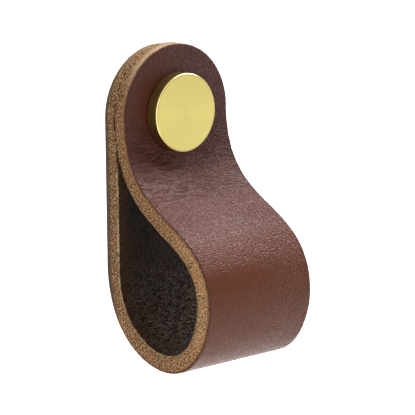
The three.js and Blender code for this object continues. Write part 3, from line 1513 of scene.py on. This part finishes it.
@dataclass
class LeatherStrap:
    """The folded strap: its skin, its punched hole and its relief."""

    fold: FoldLine
    head_radius: float
    hole_radius: float = 3.8 * MM
    rounding: float = 0.4 * MM
    cell: float = 0.33 * MM
    press_margin: float = 0.4 * MM
    press_spread: float = 5.6 * MM
    hole_sides: int = 96
    weld_reach: float = 0.001 * MM
    edge_reach: float = 1.2
    calm_round_head: float = 2.0 * MM
    calm_on_door: float = 0.95
    door_layer: Span = (-0.3 * MM, -0.01 * MM)
    clamped_height: Span = (-14 * MM, -9 * MM)
    mesh: bpy.types.Mesh | None = field(default=None, init=False)

    def skin_points(self, stations: Stations, section: StrapSection) -> np.ndarray:
        """Places every point of every section, pressed flat round the button.

        Args:
            stations: The cross-sections.
            section: Their outline.

        Returns:
            An array of sections by points by X, Y and Z.
        """
        half = stations.thickness[:, None] / 2
        through = section.share[None] * half + section.shift[None]
        x = section.across[None] * np.sin(stations.turn)[:, None]
        z = (
            stations.middle[:, 1:] + stations.grain_side[:, 1:] * through
            + section.reach[None] * np.cos(stations.turn)[:, None]
        )
        free = stations.middle[:, :1] + stations.grain_side[:, :1] * through
        clamped = through * self.fold.clamped / stations.thickness[:, None]
        flat = -stations.layer_depth[:, None] + stations.facing[:, None] * clamped
        away = np.hypot(x, z) - self.head_radius - self.press_margin
        pressed = 1 - smoothstep(away, 0, self.press_spread)
        return np.stack([x, free + (flat - free) * pressed, z], axis=2)

    def welded(self, points: np.ndarray, rows: int, around: int) -> np.ndarray:
        """Numbers the points, with one number for those that meet at an end.

        Args:
            points: Every point, section by section.
            rows: How many sections there are.
            around: How many points each has.

        Returns:
            A number for each point.
        """
        number = np.arange(rows * around)
        for row in (0, rows - 1):
            ring = slice(row * around, (row + 1) * around)
            rounded = np.round(points[ring] / self.weld_reach).astype(int)
            _, first, same = np.unique(rounded, axis=0, return_index=True, return_inverse=True)
            number[ring] = row * around + first[same.ravel()]
        return number

    def skin(self) -> bpy.types.Mesh:
        """Makes the closed skin.

        Returns:
            The skin's mesh, with its zones and traces.
        """
        stations = self.fold.stations(self.cell)
        section = StrapSection.cut(self.fold.half_width, self.rounding, self.cell)
        points = self.skin_points(stations, section)
        rows, around = points.shape[:2]
        flat = points.reshape(-1, 3)
        number = self.welded(flat, rows, around)

        first = np.arange(rows - 1)[:, None] * around
        here = first + np.arange(around)[None]
        beside = first + (np.arange(around)[None] + 1) % around
        quads = number[np.stack([here, beside, beside + around, here + around], axis=2)].reshape(-1, 4)
        zones = np.broadcast_to(section.zone, (rows - 1, around)).ravel()
        faces, face_zones = [], []
        for quad, zone in zip(quads.tolist(), zones.tolist()):
            corners = [corner for place, corner in enumerate(quad) if corner != quad[place - 1]]
            if len(set(corners)) == len(corners) and len(corners) > 2:
                faces.append(corners)
                face_zones.append(zone)

        used, renumber = np.unique(np.concatenate(faces), return_inverse=True)
        ends = np.cumsum([len(corners) for corners in faces])[:-1]
        mesh = bpy.data.meshes.new("leather_strap_skin")
        mesh.from_pydata(flat[used].tolist(), [], [corners.tolist() for corners in np.split(renumber, ends)])
        mesh.polygons.foreach_set("material_index", np.array(face_zones, dtype=np.int32))
        half = stations.thickness[:, None] / 2
        traces = {
            Trace.RUN: np.repeat(stations.run, around),
            Trace.ACROSS: np.tile(section.across, rows),
            Trace.THROUGH: (section.share[None] + section.shift[None] / half).ravel(),
            Trace.BEND: np.repeat(stations.bend, around),
        }
        for trace, values in traces.items():
            layer = mesh.attributes.new(trace.value, "FLOAT", "POINT")
            layer.data.foreach_set("value", values[used].astype(np.float32))
        mesh.update()
        return mesh

    def hole_plug(self) -> bpy.types.Mesh:
        """Makes the cylinder that is cut out of both layers.

        Returns:
            The cylinder's closed mesh.
        """
        stack = 2 * self.fold.clamped + self.fold.layer_gap
        count = self.hole_sides
        turn = np.arange(count) / count * math.tau
        ring = self.hole_radius * np.column_stack([np.cos(turn), np.sin(turn)])
        points = [(x, y, z) for y in (stack / 2, -1.5 * stack) for x, z in ring]
        walls = [(i, (i + 1) % count, (i + 1) % count + count, i + count) for i in range(count)]
        caps = [tuple(range(count))[::-1], tuple(range(count, 2 * count))]
        plug = bpy.data.meshes.new("hole_plug")
        plug.from_pydata(points, [], walls + caps)
        plug.polygons.foreach_set("material_index", np.full(count + 2, Zone.CUT, dtype=np.int32))
        plug.update()
        return plug

    def punch(self, mesh: bpy.types.Mesh) -> bpy.types.Mesh:
        """Punches the hole for the button's neck through both layers.

        Args:
            mesh: The strap's skin.

        Returns:
            A new mesh with the hole, and a bare material for each zone.
        """
        blank = stand("punch_blank", mesh)
        tool = stand("punch_tool", self.hole_plug())
        for zone in Zone:
            bare = bpy.data.materials.new("zone_" + zone.name)
            for thing in (blank, tool):
                thing.data.materials.append(bare)
        cut = blank.modifiers.new("punch", "BOOLEAN")
        cut.operation = "DIFFERENCE"
        cut.object = tool
        cut.solver = "MANIFOLD"
        cut.material_mode = "TRANSFER"
        graph = bpy.context.evaluated_depsgraph_get()
        punched = bpy.data.meshes.new_from_object(blank.evaluated_get(graph))
        for thing in (blank, tool):
            bpy.data.objects.remove(thing)
        return punched

    def relief(self, mesh: bpy.types.Mesh) -> None:
        """Moves the skin's points into folds, creases, pebbles and cut marks.

        The clamped faces, the ring round the head and the face on the door
        stay flat, and nothing passes the door or the strap's width.

        Args:
            mesh: The punched skin.
        """
        skin = SkinReading.of(mesh)
        half_width = self.fold.half_width
        inner_limit = half_width - self.edge_reach * self.rounding
        on_edge = smoothstep(np.abs(skin.across), inner_limit, half_width) * ~(skin.grain | skin.flesh)
        from_axis = np.hypot(skin.place[:, 0], skin.place[:, 2])
        clear_of_head = smoothstep(from_axis, self.head_radius, self.head_radius + self.calm_round_head)
        door_side = smoothstep(skin.place[:, 1], *self.door_layer)
        clamped_faces = skin.flesh * smoothstep(skin.place[:, 2], *self.clamped_height)
        free = clear_of_head * (1 - clamped_faces) * (1 - self.calm_on_door * door_side)
        free = np.maximum(free, on_edge * (1 - door_side))

        heights = SkinRelief().heights(skin, on_edge)
        moved = skin.place + skin.normal * (heights * free * MM)[:, None]
        moved[:, 1] = np.minimum(moved[:, 1], 0)
        moved[:, 0] = np.clip(moved[:, 0], -half_width, half_width)
        mesh.vertices.foreach_set("co", moved.ravel())
        mesh.polygons.foreach_set("use_smooth", np.ones(len(mesh.polygons), dtype=bool))
        mesh.update()

    def build(self) -> bpy.types.Object:
        """Makes the strap as one closed piece.

        Returns:
            The strap.
        """
        self.mesh = self.punch(self.skin())
        self.mesh.name = "strap_leather"
        self.relief(self.mesh)
        return stand("strap_leather", self.mesh)

    def dress(self, strap: bpy.types.Object) -> None:
        """Gives each zone its finish and stands the piece in for the model's strap.

        Args:
            strap: The built strap.
        """
        for zone, finish in zip(Zone, (GrainFinish(), CutEdgeFinish(), FleshFinish())):
            strap.data.materials[zone] = finish.material()
        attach(strap, BODY)
        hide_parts("leather_strap")


@dataclass
class FibreTuft:
    """Short loose fibres rooted in one zone of the strap's skin.

    A fibre is a thin closed cone of three sides with a kink in its middle. The
    spans are the shares of a size that single fibres have.
    """

    name: str
    count: int
    length: float
    thickness: float
    lift: float
    seed: Seed
    length_spread: Span = (0.4, 1.3)
    lift_spread: Span = (0.2, 1.4)
    thickness_spread: Span = (0.6, 1.2)
    kink: float = 0.35
    droop: float = 0.3
    taper: float = 0.8
    sides: int = 3

    def ground(self, skin: SkinReading, strap: LeatherStrap) -> np.ndarray:
        """Marks the points where fibres may grow."""
        raise NotImplementedError

    def corners(self, strap: LeatherStrap) -> np.ndarray:
        """Places the corners of every fibre.

        Args:
            strap: The built strap.

        Returns:
            An array of fibres by corners by X, Y and Z.
        """
        rng = np.random.default_rng(int(self.seed))
        skin = SkinReading.of(strap.mesh)
        ground = np.flatnonzero(self.ground(skin, strap))
        picked = ground[rng.integers(0, len(ground), self.count)]
        root, out = skin.place[picked], skin.normal[picked]
        lie = rng.normal(size=(self.count, 3))
        lie -= (lie * out).sum(axis=1)[:, None] * out
        lie /= np.linalg.norm(lie, axis=1)[:, None]
        length = self.length * rng.uniform(*self.length_spread, self.count)[:, None]
        lift = self.lift * rng.uniform(*self.lift_spread, self.count)[:, None]
        along = lie + out * lift
        along /= np.linalg.norm(along, axis=1)[:, None]
        side = np.cross(along, out)
        side /= np.linalg.norm(side, axis=1)[:, None] + 1e-12
        up = np.cross(side, along)
        kink = side * rng.uniform(-self.kink, self.kink, self.count)[:, None]
        radius = self.thickness * rng.uniform(*self.thickness_spread, self.count)[:, None] / 2

        base = root - out * self.thickness
        middle = base + along * length / 2
        tip = middle + (along + kink - out * self.droop * lift) * length / 2
        corners = []
        for centre, size in ((base, radius), (middle, radius * self.taper)):
            for step in range(self.sides):
                angle = math.tau * step / self.sides
                corners.append(centre + size * (math.cos(angle) * side + math.sin(angle) * up))
        corners.append(tip)
        placed = np.stack(corners, axis=1)
        behind_door = np.maximum(placed[:, :, 1].max(axis=1), 0)
        placed[:, :, 1] -= behind_door[:, None]
        return placed

    def build(self, strap: LeatherStrap) -> bpy.types.Object:
        """Grows the fibres.

        Args:
            strap: The built strap.

        Returns:
            One piece that holds them all.
        """
        corners = self.corners(strap)
        tip = 2 * self.sides
        pattern = [tuple(range(self.sides))[::-1]]
        for step in range(self.sides):
            after = (step + 1) % self.sides
            pattern.append((step, after, after + self.sides))
            pattern.append((step, after + self.sides, step + self.sides))
            pattern.append((step + self.sides, after + self.sides, tip))
        triangles = np.array(pattern)[None] + (tip + 1) * np.arange(self.count)[:, None, None]
        mesh = bpy.data.meshes.new(self.name)
        mesh.from_pydata(corners.reshape(-1, 3).tolist(), [], triangles.reshape(-1, 3).tolist())
        mesh.update()
        return stand(self.name, mesh)

    def dress(self, tuft: bpy.types.Object, finish: FibreFinish) -> None:
        """Colours the fibres and lets them move with the strap.

        Args:
            tuft: The grown fibres.
            finish: Their finish.
        """
        tuft.data.materials.append(finish.material())
        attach(tuft, BODY)


class EdgeFibres(FibreTuft):
    """Fibre ends matted over the cut edges."""

    off_corners = 0.95
    least_aside = 0.99

    def ground(self, skin: SkinReading, strap: LeatherStrap) -> np.ndarray:
        """Takes the cut edges away from their corners."""
        aside = np.abs(skin.across) > self.least_aside * strap.fold.half_width
        return aside & (np.abs(skin.through) < self.off_corners)


class InnerFringe(FibreTuft):
    """Frayed fibres along the inner corners of the cut edges."""

    inner_corner = -0.9
    highest = -6 * MM

    def ground(self, skin: SkinReading, strap: LeatherStrap) -> np.ndarray:
        """Takes the rounding between a cut edge and the flesh side."""
        aside = np.abs(skin.across) > strap.fold.half_width - strap.rounding
        return aside & (skin.through < self.inner_corner) & (skin.place[:, 2] < self.highest)


class FleshNap(FibreTuft):
    """Short nap on the flesh side inside the loop."""

    highest = -15 * MM

    def ground(self, skin: SkinReading, strap: LeatherStrap) -> np.ndarray:
        """Takes the flesh side below the clamped layers."""
        inside = np.abs(skin.across) < strap.fold.half_width - 2 * strap.rounding
        return inside & skin.flesh & (skin.place[:, 2] < self.highest)


@dataclass
class BrassButton:
    """The turned button: flat head, neck through the strap, threaded bore.

    A section's points lie inwards and back from a corner of the outline, as
    shares of one size: the groove's of its width, the front bevel's of its
    softness, and the rear bevel's of its own width.
    """

    head_radius: float
    head_front: float
    neck_end: float
    head_back: float = -6.15 * MM
    head_back_bevel: float = 0.25 * MM
    neck_radius: float = 3.5 * MM
    neck_fillet: float = 0.2 * MM
    neck_chamfer: float = 0.4 * MM
    head_bevel: float = 0.15 * MM
    bevel_softness: float = 0.04 * MM
    rim_groove: float = 0.1 * MM
    groove: Section = ((2.5, 0.0), (2.2, 0.0), (1.8, 0.5), (1.4, 0.5), (1.0, 0.0), (0.7, 0.0))
    bevel_start: Section = ((0.3, 0.1), (-0.7, 0.7))
    bevel_end: Section = ((0.7, -0.7), (0.1, 0.3), (0.0, 1.0), (0.0, 3.0))
    back_bevel: Section = ((0.0, -1.2), (0.0, -1.0), (0.48, -0.2), (1.0, 0.0))
    bore_radius: float = 1.65 * MM
    bore_floor: float = 2.0 * MM
    drill_point: float = 0.9 * MM
    thread_pitch: float = 0.7 * MM
    thread_depth: float = 0.33 * MM
    thread_runout: float = 1 / 6
    mouth_countersink: float = 1 / 14
    sides: int = 256
    front_rings: int = 5
    thread_rows: int = 150

    def profile(self) -> list[tuple[float, float]]:
        """Draws the outside of the button.

        Returns:
            Radius and Y of each turned corner, from the front to the bore.
        """
        rim, front, back = self.head_radius, self.head_front, self.head_back
        inside = rim - self.head_bevel
        points = [(rim * ring / self.front_rings, front) for ring in range(1, self.front_rings)]
        for radius, y, size, section in (
            (inside, front, self.rim_groove, self.groove),
            (inside, front, self.bevel_softness, self.bevel_start),
            (rim, front + self.head_bevel, self.bevel_softness, self.bevel_end),
            (rim, back, self.head_back_bevel, self.back_bevel),
        ):
            points += [(radius - inwards * size, y + behind * size) for inwards, behind in section]
        points += [
            (self.neck_radius + self.neck_fillet, back),
            (self.neck_radius, back + self.neck_fillet),
            (self.neck_radius, self.neck_end - self.neck_chamfer),
            (self.neck_radius - self.neck_chamfer, self.neck_end),
            (self.bore_radius + self.thread_depth, self.neck_end),
        ]
        return points

    def thread(self, turn: np.ndarray) -> list[tuple[np.ndarray, float]]:
        """Cuts the thread into the bore.

        Args:
            turn: The angle of each side.

        Returns:
            The radius at each side, and Y, for each ring of the bore.
        """
        floor = self.head_front + self.bore_floor
        rings = []
        for row in range(1, self.thread_rows):
            share = row / self.thread_rows
            y = self.neck_end + (floor - self.neck_end) * share
            phase = (y / self.thread_pitch + turn / math.tau) % 1
            groove = 1 - np.abs(2 * phase - 1)
            fade = min(1.0, (1 - share) / self.thread_runout)
            mouth = 1 - min(1.0, share / self.mouth_countersink)
            rings.append((self.bore_radius + self.thread_depth * np.maximum(groove * fade, mouth), y))
        return rings

    def rings(self) -> np.ndarray:
        """Places every ring of the turned surface.

        Returns:
            An array of rings by sides by X, Y and Z.
        """
        turn = np.arange(self.sides) / self.sides * math.tau
        floor = self.head_front + self.bore_floor
        drilled = [(self.bore_radius, floor), (self.bore_radius / 2, floor - self.drill_point / 2)]
        return np.array([
            np.column_stack([radius * np.cos(turn), np.full(self.sides, y), radius * np.sin(turn)])
            for radius, y in self.profile() + self.thread(turn) + drilled
        ])

    def build(self) -> bpy.types.Object:
        """Turns the button as one closed mesh.

        Returns:
            The button.
        """
        rings = self.rings()
        rows, around = rings.shape[:2]
        points = rings.reshape(-1, 3).tolist()
        front_middle, drill_tip = len(points), len(points) + 1
        points.append((0.0, self.head_front, 0.0))
        points.append((0.0, self.head_front + self.bore_floor - self.drill_point, 0.0))
        last = (rows - 1) * around
        faces = []
        for side in range(around):
            after = (side + 1) % around
            faces.append((front_middle, side, after))
            faces.append((last + side, drill_tip, last + after))
            for near in range(0, last, around):
                far = near + around
                faces.append((near + side, far + side, far + after, near + after))
        mesh = bpy.data.meshes.new("turned_button")
        mesh.from_pydata(points, [], faces)
        mesh.update()
        mesh.polygons.foreach_set("use_smooth", np.ones(len(mesh.polygons), dtype=bool))
        return stand("turned_button", mesh)

    def dress(self, button: bpy.types.Object) -> None:
        """Finishes the button in brass and stands it in for the model's button.

        Args:
            button: The turned button.
        """
        button.data.materials.append(BrassFinish().material())
        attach(button, BODY)
        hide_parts("brass_button")


@dataclass
class Camera:
    """The photograph's view of the knob, as fitted to its outline."""

    azimuth: float = -42.642
    elevation: float = 11.05
    roll: float = -0.535
    distance: float = 511.3 * MM
    aim: Triple = (2.056 * MM, -12.923 * MM, -19.195 * MM)
    lens: float = 219.14
    sensor_width: float = 36.0
    clip: Span = (0.01, 20.0)

    def build(self) -> bpy.types.Object:
        """Sets up the camera and makes it the scene's.

        Returns:
            The camera.
        """
        side, lift, roll = (math.radians(angle) for angle in (self.azimuth, self.elevation, self.roll))
        back = Vector((
            math.sin(side) * math.cos(lift),
            -math.cos(side) * math.cos(lift),
            math.sin(lift),
        ))
        right = (-back).cross(Vector((0, 0, 1))).normalized()
        up = right.cross(-back)
        rolled_right = math.cos(roll) * right + math.sin(roll) * up
        rolled_up = -math.sin(roll) * right + math.cos(roll) * up
        turn = Matrix((rolled_right, rolled_up, back)).transposed()
        data = bpy.data.cameras.new("camera")
        data.lens = self.lens
        data.sensor_width = self.sensor_width
        data.clip_start, data.clip_end = self.clip
        camera = stand("camera", data)
        camera.matrix_world = Matrix.Translation(Vector(self.aim) + back * self.distance) @ turn.to_4x4()
        bpy.context.scene.camera = camera
        return camera


@dataclass(frozen=True)
class Softbox:
    """A large square lamp turned towards the knob."""

    name: str
    place: Triple
    size: float
    power: float
    tint: Triple = (1.0, 1.0, 1.0)

    def build(self, target: Vector) -> None:
        """Hangs the lamp.

        Args:
            target: What it points at.
        """
        data = bpy.data.lights.new(self.name, "AREA")
        data.shape = "SQUARE"
        data.size = self.size
        data.energy = self.power
        data.color = self.tint
        lamp = stand(self.name, data)
        lamp.location = self.place
        lamp.rotation_mode = "QUATERNION"
        lamp.rotation_quaternion = (target - Vector(self.place)).to_track_quat("-Z", "Y")


@dataclass
class Studio:
    """A white floor below the knob, soft lamps and an even pale sky."""

    floor_drop: float = 125 * MM
    floor_half: float = 4.0
    floor_white: Colour = (0.9, 0.9, 0.9, 1.0)
    floor_glow: float = 0.55
    sky_white: Colour = (1.0, 1.0, 1.0, 1.0)
    sky: float = 0.42
    target: Triple = (0.0, -12 * MM, -18 * MM)
    lamps: tuple[Softbox, ...] = (
        Softbox("key_overhead", (0.65, 0.08, 0.82), 0.92, 17.0, (0.97, 0.98, 1.0)),
        Softbox("fill_left", (-0.9, -0.55, 0.25), 0.9, 2.2),
    )

    @staticmethod
    def seen(board: NodeBoard) -> Socket:
        """Tells what is seen from what lights.

        Args:
            board: The board of a floor or a sky.

        Returns:
            1 to the camera, also through metal's and glass's reflections.
        """
        path = board.add("LightPath").outputs
        mirrored = board.math("MAXIMUM", path["Is Camera Ray"], path["Is Glossy Ray"])
        return board.math("MAXIMUM", mirrored, path["Is Transmission Ray"])

    def floor_material(self) -> bpy.types.Material:
        """Makes a floor that keeps shadows, reads as white and is clear from below.

        Returns:
            The material.
        """
        material = bpy.data.materials.new("white_floor")
        material.use_nodes = True
        material.node_tree.nodes.clear()
        board = NodeBoard(material.node_tree)
        matt = board.add("BsdfDiffuse")
        matt.inputs["Color"].default_value = self.floor_white
        glow = board.add("Emission")
        board.feed(glow.inputs["Strength"], board.times(self.seen(board), self.floor_glow))
        both = board.add("AddShader")
        sided = board.add("MixShader")
        backfacing = board.add("NewGeometry").outputs["Backfacing"]
        clear = board.add("BsdfTransparent").outputs[0]
        for node, sources in (
            (both, (matt.outputs[0], glow.outputs[0])),
            (sided, (backfacing, both.outputs[0], clear)),
            (board.add("OutputMaterial"), (sided.outputs[0],)),
        ):
            for socket, source in zip(node.inputs, sources):
                board.feed(socket, source)
        return material

    def build_floor(self) -> None:
        """Lays the floor as stage."""
        half, z = self.floor_half, -self.floor_drop
        corners = [(-half, -half, z), (half, -half, z), (half, half, z), (-half, half, z)]
        mesh = bpy.data.meshes.new("floor")
        mesh.from_pydata(corners, [], [(0, 1, 2, 3)])
        mesh.materials.append(self.floor_material())
        floor = stand("floor", mesh)

    def build_sky(self) -> None:
        """Lights the scene evenly and shows white behind it."""
        world = bpy.data.worlds.new("studio_sky")
        bpy.context.scene.world = world
        world.use_nodes = True
        world.node_tree.nodes.clear()
        board = NodeBoard(world.node_tree)
        back = board.add("Background")
        back.inputs["Color"].default_value = self.sky_white
        board.feed(back.inputs["Strength"], board.total(self.sky, (self.seen(board), 1 - self.sky)))
        output = board.add("OutputWorld")
        board.feed(output.inputs["Surface"], back.outputs[0])

    def build(self) -> None:
        """Sets up the whole studio."""
        bpy.context.scene.view_settings.view_transform = "Standard"
        self.build_floor()
        self.build_sky()
        for lamp in self.lamps:
            lamp.build(Vector(self.target))


def report(piece: bpy.types.Object) -> None:
    """Logs a finished piece."""
    LOG.info("%s: %d faces", piece.name, len(piece.data.polygons))


def main() -> None:
    """Builds and dresses the knob and its studio."""
    logging.basicConfig(level=logging.INFO, format="%(message)s")
    Camera().build()
    Studio().build()

    strap_low, strap_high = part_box("leather_strap")
    button_low, button_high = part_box("brass_button")
    head_radius = (button_high.x - button_low.x) / 2

    fold = FoldLine(
        half_width=(strap_high.x - strap_low.x) / 2,
        loop_drop=-strap_low.z,
        loop_depth=-strap_low.y,
        front_end_reach=strap_high.z,
    )
    strap = LeatherStrap(fold=fold, head_radius=head_radius)
    leather = strap.build()
    strap.dress(leather)
    report(leather)

    tan = FibreFinish("tan_fibre", tint=linear("d3b188"), shade=linear("7d5a3a"))
    dark = FibreFinish("dark_fibre", tint=linear("4a3b33"), shade=linear("1e1512"))
    tufts = (
        (EdgeFibres("edge_fibres", 5000, 0.45 * MM, 0.05 * MM, lift=0.25, seed=Seed.EDGE_FIBRES), tan),
        (InnerFringe("inner_fringe", 2600, 0.4 * MM, 0.05 * MM, lift=0.5, seed=Seed.INNER_FRINGE), tan),
        (FleshNap("flesh_nap", 3600, 0.4 * MM, 0.045 * MM, lift=0.3, seed=Seed.FLESH_NAP), dark),
    )
    for tuft, finish in tufts:
        grown = tuft.build(strap)
        tuft.dress(grown, finish)
        report(grown)

    button = BrassButton(head_radius=head_radius, head_front=button_low.y, neck_end=button_high.y)
    turned = button.build()
    button.dress(turned)
    report(turned)


if __name__ == "__main__":
    main()
